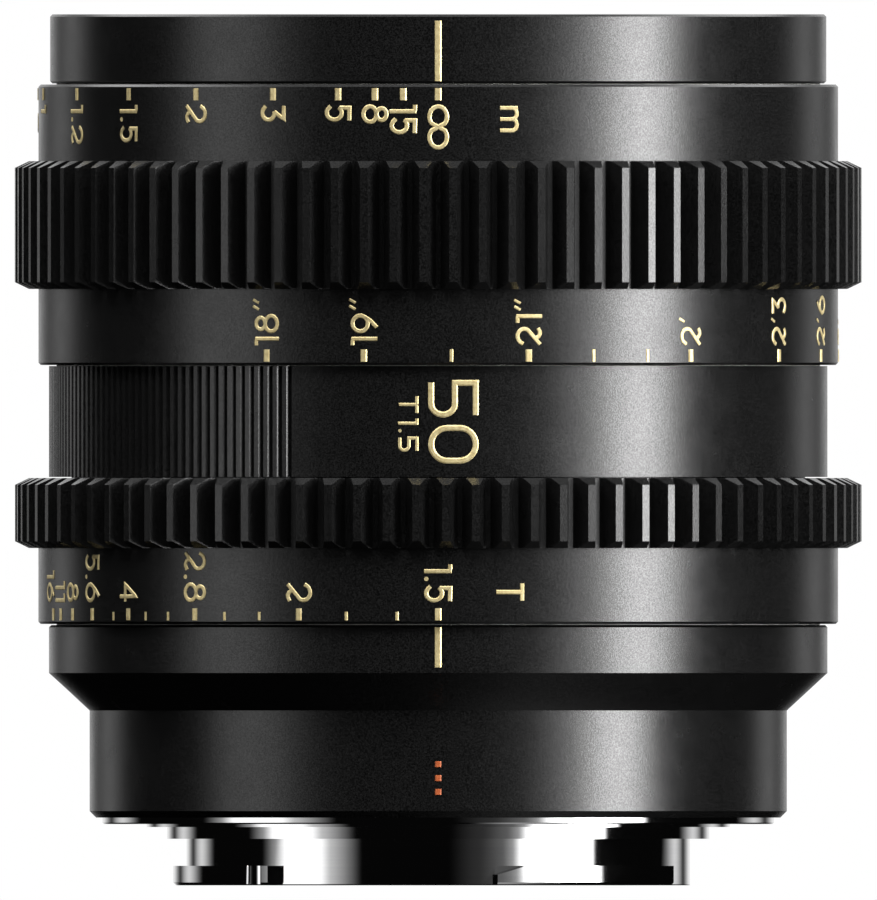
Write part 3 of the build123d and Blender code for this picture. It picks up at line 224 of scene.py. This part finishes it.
materials = {
    "black_anodised": blasted_metal("black_anodised", grey(0.0015), grey(0.0102), 0.23, 0.28, 0.60),
    "black_inner": blasted_metal("black_inner", grey(0.005), grey(0.011), 0.55, 0.7, 0.42),
    "chrome": turned_metal("chrome", (0.80, 0.80, 0.80), (0.76, 0.76, 0.77), 0.05, 0.02),
    "steel": turned_metal("steel", (0.16, 0.16, 0.165), (0.12, 0.12, 0.125), 0.3, 0.2),
    "brass": turned_metal("brass", (0.72, 0.53, 0.25), (0.60, 0.43, 0.19), 0.25, 0.2),
    "white_polymer": bearing_plastic("white_polymer"),
    "coated_glass": coated_glass("coated_glass"),
    "blade_black": turned_metal("blade_black", grey(0.20), grey(0.14), 0.42, 0.1),
    "gold_paint": filled_paint("gold_paint", (0.86, 0.73, 0.40), (0.70, 0.56, 0.27), 0.45, 0.6),
    "orange_paint": filled_paint("orange_paint", (0.52, 0.13, 0.038), (0.42, 0.09, 0.026), 0.5, 0.0),
}

# Painted shade: the bottom end of the chrome tube is darkened as if its edge were in shade
tube_edge_height = -0.00487
painted_end_shade(materials["chrome"], tube_edge_height)

for part in frame["record"]["subparts"]:
    mesh = nodes[part["node"]].data
    mesh.materials.clear()
    mesh.materials.append(materials[part["material_slot"]])


# Marks: strokes in millimetres on the rings, wrapped round the axis. A point is (along, height), where
# along runs round the ring to the right of the front index.

def arc(centre_x, centre_y, radius_x, radius_y, start, end, steps=14):
    """Points along an elliptical arc, in degrees."""
    points = []
    for step in range(steps + 1):
        turn = math.radians(start + (end - start) * step / steps)
        points.append((centre_x + radius_x * math.cos(turn), centre_y + radius_y * math.sin(turn)))
    return points


nought = arc(0.5, 0.637, 0.5, 0.363, 0, 180) + arc(0.5, 0.363, 0.5, 0.363, 180, 360)
nought.append((1, 0.637))
ring_of_six = arc(0.5, 0.335, 0.5, 0.335, 0, 360, 28)
tail_of_six = [(0.01, 0.42), (0.10, 0.56), (0.32, 0.78), (0.66, 1.0)]
infinity = arc(0.25, 0.5, 0.25, 0.5, 50, 310, 20) + arc(0.75, 0.5, 0.25, 0.5, 130, -130, 20)
infinity.append(infinity[0])
eight = arc(0.5, 0.785, 0.38, 0.215, -90, 270, 24) + arc(0.5, 0.285, 0.5, 0.285, 90, -270, 28)
foot_of_two = [(0.38, 0.17), (0.50, 0.06), (0.66, 0.01), (0.82, 0.02), (0.93, 0.06)]
hook_of_f = [(1.0, 0.98)] + arc(0.72, 0.72, 0.36, 0.28, 90, 180) + [(0.36, 0.0)]
hook_of_t = [(0.4, 0.95), (0.4, 0.2)] + arc(0.72, 0.2, 0.32, 0.2, 180, 270)
# Each sign: width as a share of its height, then its strokes in a unit box
signs = {
    "0": (0.72, [nought]),
    "1": (0.33, [[(0.1, 1.0), (1.0, 1.0), (1.0, 0.0)]]),
    "2": (0.70, [arc(0.5, 0.70, 0.49, 0.30, 155, -30) + [(0.06, 0.06)], foot_of_two]),
    "3": (0.64, [[(0.1, 1.0), (0.95, 1.0), (0.40, 0.57)] + arc(0.48, 0.285, 0.52, 0.285, 100, -140)]),
    "4": (0.72, [[(0.76, 0.05), (0.76, 1.0), (0.0, 0.30), (0.95, 0.30)]]),
    "5": (0.63, [[(0.90, 0.99), (0.10, 1.0), (0.10, 0.57)] + arc(0.48, 0.33, 0.52, 0.33, 138, -140)]),
    "6": (0.71, [ring_of_six, tail_of_six]),
    "7": (0.66, [[(0.1, 1.0), (0.95, 1.0), (0.35, 0.05)]]),
    "8": (0.71, [eight]),
    "9": (0.72, [[(1 - x, 1 - y) for x, y in line] for line in (ring_of_six, tail_of_six)]),
    ".": (0.17, []),
    "'": (0.18, [[(0.3, 0.90), (1.3, 1.06)]]),
    '"': (0.40, [[(0.0, 0.90), (0.26, 1.06)], [(0.80, 0.90), (1.06, 1.06)]]),
    "T": (0.70, [[(0.1, 1.0), (0.9, 1.0)], [(0.5, 1.0), (0.5, 0.05)]]),
    "f": (0.40, [hook_of_f, [(0, 0.62), (0.9, 0.62)]]),
    "t": (0.40, [hook_of_t, [(0, 0.66), (0.95, 0.66)]]),
    "m": (
        1.35,
        [
            [(0.0, 0.05), (0.0, 0.95)],
            arc(0.25, 0.72, 0.25, 0.28, 180, 0) + [(0.5, 0.05)],
            arc(0.75, 0.72, 0.25, 0.28, 180, 0) + [(1.0, 0.05)],
        ],
    ),
    "~": (2.08, [infinity]),
}
# The sleeve has wider figures, and its five has a straight-sided bowl
sleeve_five = [(0.92, 1.0), (0.0, 1.0), (0.0, 0.53), (0.60, 0.53)]
sleeve_five += arc(0.66, 0.265, 0.34, 0.265, 80, -90) + [(0.08, 0.0)]
sleeve_signs = {
    **signs,
    "0": (0.765, [nought]),
    "T": (0.94, [[(0.08, 1.0), (0.92, 1.0)], [(0.5, 1.0), (0.5, 0.05)]]),
    "5": (0.745, [sleeve_five]),
}

# How a stroke is built
longest_step = 0.35          # gap between its points, in millimetres
shortest_share = 0.05        # closer points are left out, as a share of half the width
bevel_share = 0.42           # width of each sloping side, as a share of half the width
bevel_rise = 0.6             # rise of the flat top, as a share of a sloping side
mitre_floor = 0.6            # keeps the mitre of a sharp corner short
prime_pen_share = 0.7        # the foot and inch marks have a thinner stroke
dot_share = 1.1              # size of a decimal point, as a share of the stroke


def finely(points, step):
    """The same line with no gap between points longer than a step."""
    out = [points[0]]
    for (x0, y0), (x1, y1) in zip(points, points[1:]):
        parts = max(1, math.ceil(math.hypot(x1 - x0, y1 - y0) / step))
        out += [(x0 + (x1 - x0) * n / parts, y0 + (y1 - y0) * n / parts) for n in range(1, parts + 1)]
    return out


def ribbon(mesh, place, points, width, ends=0.0):
    """A stroke of even width with square ends and sloping sides, like paint that fills a groove.

    place turns (along, height, lift) into a point in space. ends is how far the stroke runs on at its
    two ends, as a share of half its width.
    """
    half = width / 2
    shortest = half * shortest_share
    line = [points[0]]
    for point in finely(points, longest_step):
        if math.dist(point, line[-1]) > shortest:
            line.append(point)
    closed = math.dist(points[0], points[-1]) < shortest
    last = len(line) - 1
    slope = bevel_share * half
    rise = bevel_rise * slope
    flat = (half - slope) / half
    rows = []
    for n, (x, y) in enumerate(line):
        before = line[max(n - 1, 0)]
        after = line[min(n + 1, last)]
        if closed and n in (0, last):
            before = line[last - 1]
            after = line[1]
        turn = math.atan2(after[1] - before[1], after[0] - before[0])
        here = math.atan2(after[1] - y, after[0] - x) if n < last else turn
        reach = half / max(mitre_floor, math.cos(turn - here))
        if not closed and n in (0, last):
            run = half * ends * (1 if n else -1)
            x += math.cos(turn) * run
            y += math.sin(turn) * run
        row = []
        for side, lift in ((1, 0), (flat, rise), (-flat, rise), (-1, 0)):
            across = side * reach
            corner = place(x - math.sin(turn) * across, y + math.cos(turn) * across, lift)
            row.append(mesh.verts.new(corner))
        rows.append(row)
    for first, second in zip(rows, rows[1:]):
        for k in range(3):
            mesh.faces.new((first[k], first[k + 1], second[k + 1], second[k]))


def finish_piece(name, mesh, body, slot):
    """Turns a built mesh into a piece of the scene that rides on a body."""
    data = bpy.data.meshes.new(name)
    mesh.to_mesh(data)
    mesh.free()
    data.materials.append(materials[slot])
    piece = bpy.data.objects.new(name, data)
    scene.collection.objects.link(piece)
    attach(piece, body)


class Marks:
    """Marks of one colour on one ring, gathered into one piece that rides on a body."""

    def __init__(self, name, radius, body, slot):
        self.name = name
        self.radius = radius + mark_lift
        self.body = body
        self.slot = slot
        self.mesh = bmesh.new()

    def placer(self, bearing):
        """Wraps (along, height, lift) round the ring, from a bearing right of the front index."""

        def place(along, height, lift):
            turn = math.radians(bearing) + along / self.radius
            reach = self.radius + lift
            return (reach * math.sin(turn) * MM, -reach * math.cos(turn) * MM, height * MM)

        return place

    def bar(self, bearing, width, low, high):
        """An upright bar, such as an index line or a tick."""
        ribbon(self.mesh, self.placer(bearing), [(0.0, low), (0.0, high)], width)

    def patch(self, place, rim):
        """A flat patch inside a rim."""
        self.mesh.faces.new([self.mesh.verts.new(place(x, y, 0)) for x, y in rim])

    def text(
        self, words, bearing, start, height, stroke,
        clockwise=True, gap=0.3, from_end=False, letters=signs,
    ):
        """Words turned a quarter round, read downwards if clockwise and upwards if not.

        start is the height at which they begin, or end with from_end. height is the size of a sign.
        """
        widths = [letters[letter][0] * height for letter in words]
        length = sum(widths) + gap * (len(words) - 1)
        place = self.placer(bearing)
        reach = length if from_end else 0
        side = 1 if clockwise else -1
        across = 0.0
        for letter, width in zip(words, widths):
            pen = stroke * prime_pen_share if letter in "'\"" else stroke
            if letter == ".":
                size = stroke * dot_share / 2
                foot = (size - height / 2) * side
                level = start + (reach - across - width / 2) * side
                self.patch(place, arc(foot, level, size, size, 0, 360, 16)[:-1])
            for points in letters[letter][1]:
                line = []
                for u, v in points:
                    a = across + pen / 2 + u * (width - pen)
                    b = pen / 2 + v * (height - pen) - height / 2
                    line.append((b * side, start + (reach - a) * side))
                ribbon(self.mesh, place, line, pen, 1.0)
            across += width + gap

    def done(self):
        """Turns the gathered marks into a piece of the scene."""
        finish_piece(self.name, self.mesh, self.body, self.slot)


# Index lines on the fixed rings
front_marks = Marks("front_index", front_ring_radius, "root", "gold_paint")
for bearing in (0, 180):
    front_marks.bar(bearing, line_width, *front_index_ends)
front_marks.done()

band_marks = Marks("iris_index", rear_band_radius, "root", "gold_paint")
band_marks.bar(0, line_width, *iris_index_ends)
band_marks.done()

mount_marks = Marks("mount_index", rear_barrel_radius, "root", "orange_paint")
mount_mark_width = 0.54
mount_mark_height = 0.5
for low in (2.74, 3.92, 5.10):
    mount_marks.bar(0, mount_mark_width, low, low + mount_mark_height)
mount_marks.done()

# Distance scales on the focus ring: metres along the front edge, feet along the rear edge. The feet
# scale is read against the index line on the far side.
focus_marks = Marks("focus_scale", focus_ring_radius, "focus_ring", "gold_paint")
infinity_size = 1.85
metre_size = 2.35
feet_size = 2.32
metre_row = 61.45
feet_row = 40.92
metre_marks = (
    ("~", 0.0), ("15", -5.0), ("8", -9.1), ("5", -14.5), ("3", -24.4), ("2", -37.3), ("1.5", -50.7),
    ("1.2", -64.6), ("1", -80.8), (".9", -91.5), (".8", -101.7), (".7", -118.5), (".6", -143.5),
    (".5", -181.0),
)
for words, bearing in metre_marks:
    focus_marks.bar(bearing, line_width, *metre_tick)
    size = infinity_size if words == "~" else metre_size
    focus_marks.text(words, bearing, metre_row, size, 0.36)
focus_marks.text("m", 10.2, 61.31, 1.66, 0.33)

feet_marks = (
    ('18"', -25.4), ('19"', -10.7), ("", 1.9), ('21"', 13.1), ("", 22.9), ("", 31.6), ("2'", 39.2),
    ("2'3", 58.5), ("2'6", 73.2), ("3'", 90.0), ("4'", 116.5), ("5'", 130.0), ("7'", 145.0),
    ("10'", 156.0), ("15'", 164.0), ("30'", 172.0), ("~", 180.0),
)
small_feet_width = 0.3
for words, bearing in feet_marks:
    focus_marks.bar(bearing, line_width if words else small_feet_width, *feet_tick)
    if words:
        size = infinity_size if words == "~" else feet_size
        focus_marks.text(words, bearing, feet_row, size, 0.34, clockwise=False)
focus_marks.text("ft", 191.9, feet_row, 1.9, 0.32, clockwise=False)
focus_marks.done()

# Focal length and widest stop on the grip sleeve
sleeve_marks = Marks("sleeve_figures", grip_sleeve_radius, "root", "gold_paint")
sleeve_marks.text("50", 2.25, 38.02, 4.3, 0.5, gap=0.63, letters=sleeve_signs)
sleeve_marks.text("T1.5", -4.4, 36.74, 1.73, 0.27, gap=0.35, letters=sleeve_signs)
sleeve_marks.done()

# T scale on the iris ring
iris_marks = Marks("iris_scale", iris_ring_radius, "iris_ring", "gold_paint")
stops = (
    ("1.5", 0.0), ("2", -20.4), ("2.8", -37.5), ("4", -50.8), ("5.6", -59.9), ("8", -66.1),
    ("11", -70.7), ("16", -74.2),
)
stop_row = 19.1
stop_width = 0.54
small_stop_width = 0.28
aside = {"11": 0.2, "16": 1.5}     # in degrees, to keep these clear of their neighbours
for words, bearing in stops:
    iris_marks.bar(bearing, stop_width, *stop_tick)
    turned = bearing - aside.get(words, 0)
    iris_marks.text(words, turned, stop_row, 2.4, 0.35, gap=0.28, from_end=True)
for bearing in (-5.9, -13.3, -26.6, -32.3, -42.5, -47.0, -54.3):
    iris_marks.bar(bearing, small_stop_width, *small_stop_tick)
iris_marks.text("T", 10.3, stop_row, 2.52, 0.36, from_end=True)
iris_marks.done()

# Flat dark hexagons on the two arm screws, at the back of the iris ring: painted shade where their
# sockets are
socket_radius = 0.62
arm_socket_shade = Marks("iris_arm_screw_socket_shade", arm_screw_radius, "iris_ring", "black_inner")
for bearing in (176.5, 183.5):
    # a flat dark patch on the screw head: painted shade for the socket
    hexagon = arc(0.0, arm_screw_height, socket_radius, socket_radius, 0, 300, 5)
    arm_socket_shade.patch(arm_socket_shade.placer(bearing), hexagon)
arm_socket_shade.done()


# Filter thread: fine ridges inside the front ring
def thread_ridges(name, radius, height, low, high, pitch):
    """Rounded ridges round a bore, like the crests of a fine thread."""
    mesh = bmesh.new()
    around = 180
    crest = radius - height
    profile = []
    count = int((high - low) / pitch)
    for ridge in range(count):
        base = low + ridge * pitch
        profile += [(radius, base), (crest, base + pitch * 0.3), (crest, base + pitch * 0.45)]
    profile.append((radius, low + count * pitch))
    columns = []
    for n in range(around):
        turn = math.tau * n / around
        along_x = math.cos(turn) * MM
        along_y = math.sin(turn) * MM
        columns.append([mesh.verts.new((r * along_x, r * along_y, z * MM)) for r, z in profile])
    for n, column in enumerate(columns):
        following = columns[(n + 1) % around]
        for k in range(len(profile) - 1):
            mesh.faces.new((column[k], column[k + 1], following[k + 1], following[k]))
    finish_piece(name, mesh, "root", "black_anodised")


thread_ridges("filter_thread_ridges", thread_radius, 0.28, thread_low, thread_high, 0.75)


# Floor, world light and camera
floor_edge = 0.3
floor_mesh = bpy.data.meshes.new("floor")
floor_mesh.from_pydata(
    [
        (-floor_edge, -floor_edge, 0), (floor_edge, -floor_edge, 0),
        (floor_edge, floor_edge, 0), (-floor_edge, floor_edge, 0),
    ],
    [],
    [(0, 1, 2, 3)],
)
floor = bpy.data.objects.new("floor", floor_mesh)
floor.location.z = floor_height * MM
scene.collection.objects.link(floor)
floor.visible_glossy = False
floor.visible_diffuse = False
floor_material, floor_tree, floor_shader = new_material("pale_floor")
floor_shader.inputs["Base Color"].default_value = (0.9, 0.9, 0.9, 1)
floor_shader.inputs["Roughness"].default_value = 0.9
floor_shader.inputs["Emission Color"].default_value = (1, 1, 1, 1)
floor_shader.inputs["Emission Strength"].default_value = 0.55
floor_mesh.materials.append(floor_material)

world = bpy.data.worlds.new("studio")
scene.world = world
world.use_nodes = True
sky = world.node_tree
background = sky.nodes["Background"]


def maths(operation, *values):
    """A maths node on the world's tree. Values are numbers or sockets."""
    node = sky.nodes.new("ShaderNodeMath")
    node.operation = operation
    for n, value in enumerate(values):
        if isinstance(value, bpy.types.NodeSocket):
            sky.links.new(value, node.inputs[n])
        else:
            node.inputs[n].default_value = value
    return node.outputs["Value"]


def between(value, low, high, soft):
    """One inside a range and zero outside, with soft edges."""
    rise = sky.nodes.new("ShaderNodeMapRange")
    fall = sky.nodes.new("ShaderNodeMapRange")
    for node, edge in ((rise, low), (fall, high)):
        node.interpolation_type = "SMOOTHSTEP"
        sky.links.new(value, node.inputs["Value"])
        node.inputs["From Min"].default_value = edge - soft
        node.inputs["From Max"].default_value = edge + soft
    fall.inputs["To Min"].default_value = 1.0
    fall.inputs["To Max"].default_value = 0.0
    return maths("MULTIPLY", rise.outputs["Result"], fall.outputs["Result"])


direction = sky.nodes.new("ShaderNodeTexCoord")
split = sky.nodes.new("ShaderNodeSeparateXYZ")
sky.links.new(direction.outputs["Generated"], split.inputs["Vector"])
toward = maths("MULTIPLY", split.outputs["Y"], -1.0)
azimuth = maths("MULTIPLY", maths("ARCTAN2", split.outputs["X"], toward), 180 / math.pi)
elevation = maths("MULTIPLY", maths("ARCSINE", split.outputs["Z"]), 180 / math.pi)
around = maths("ABSOLUTE", azimuth)

# Soft boxes: azimuth from and to, elevation from and to, softness, strength. Angles are in degrees, and
# azimuth is counted from the photograph's camera, to the right.
soft_boxes = (
    (53, 71, -14, 34, 7, 16.5),     # main light, right
    (38, 74, -14, 34, 4, 2.0),      # its wider frame
    (12, 44, -14, 20, 8, 0.03),     # its soft edge, in three steps
    (25, 44, -14, 20, 7, 0.10),
    (33, 44, -14, 20, 4, 0.30),
    (-82, -48, -9, 60, 7, 0.50),    # fill light, left
    (-77, -54, -9, 9, 4, 1.0),      # narrow reflector, left
    (-54, -40, -9, 9, 5, 0.25),
    (-88, 55, 36, 60, 6, 4.5),      # raised light for the paint, front and left
    (10, 110, -80, -30, 10, 0.4),   # light from below for the cone, right
)
past_any = 400                      # an end that no angle reaches
backdrop_strength = 0.85
wing_strength = 0.76
raised_back_strength = 3.0
top_strength = 0.8
room_strength = 0.002
backdrop = maths("MULTIPLY", between(around, 161, past_any, 10), backdrop_strength)
wings = maths("MULTIPLY", between(around, 133, 147, 8), wing_strength)
total = maths("MULTIPLY", maths("ADD", backdrop, wings), between(elevation, -6, past_any, 6))
for first, last, low, high, soft, strength in soft_boxes:
    wide = between(azimuth, first, last, soft)
    tall = between(elevation, low, high, soft / 2)
    patch = maths("MULTIPLY", wide, tall)
    total = maths("ADD", total, maths("MULTIPLY", patch, strength))
top = maths("MULTIPLY", between(elevation, 64, past_any, 10), top_strength)
total = maths("ADD", total, maths("ADD", top, room_strength))
raised = maths("MULTIPLY", between(around, 104, past_any, 8), between(elevation, 30, 60, 6))
total = maths("ADD", total, maths("MULTIPLY", raised, raised_back_strength))

# The camera sees plain white where a ray meets nothing
seen = sky.nodes.new("ShaderNodeLightPath")
camera_share = seen.outputs["Is Camera Ray"]
kept = maths("MULTIPLY", total, maths("SUBTRACT", 1.0, camera_share))
sky.links.new(maths("ADD", kept, camera_share), background.inputs["Strength"])
background.inputs["Color"].default_value = (1, 1, 1, 1)

scene.view_settings.view_transform = "Standard"
scene.view_settings.look = "None"
scene.cycles.max_bounces = 12
scene.cycles.transparent_max_bounces = 16

camera_data = bpy.data.cameras.new("camera")
camera = bpy.data.objects.new("camera", camera_data)
scene.collection.objects.link(camera)
view_height = 76.53
view_centre_height = 32.06
view_centre_side = 0.026
camera_distance = 1000.0
camera_data.type = "ORTHO"       # the photograph shows no perspective
camera_data.ortho_scale = view_height * MM
camera.location = (view_centre_side * MM, -camera_distance * MM, view_centre_height * MM)
camera.rotation_euler = (math.pi / 2, 0, 0)
camera_data.clip_start = 0.01
camera_data.clip_end = 20.0
scene.camera = camera
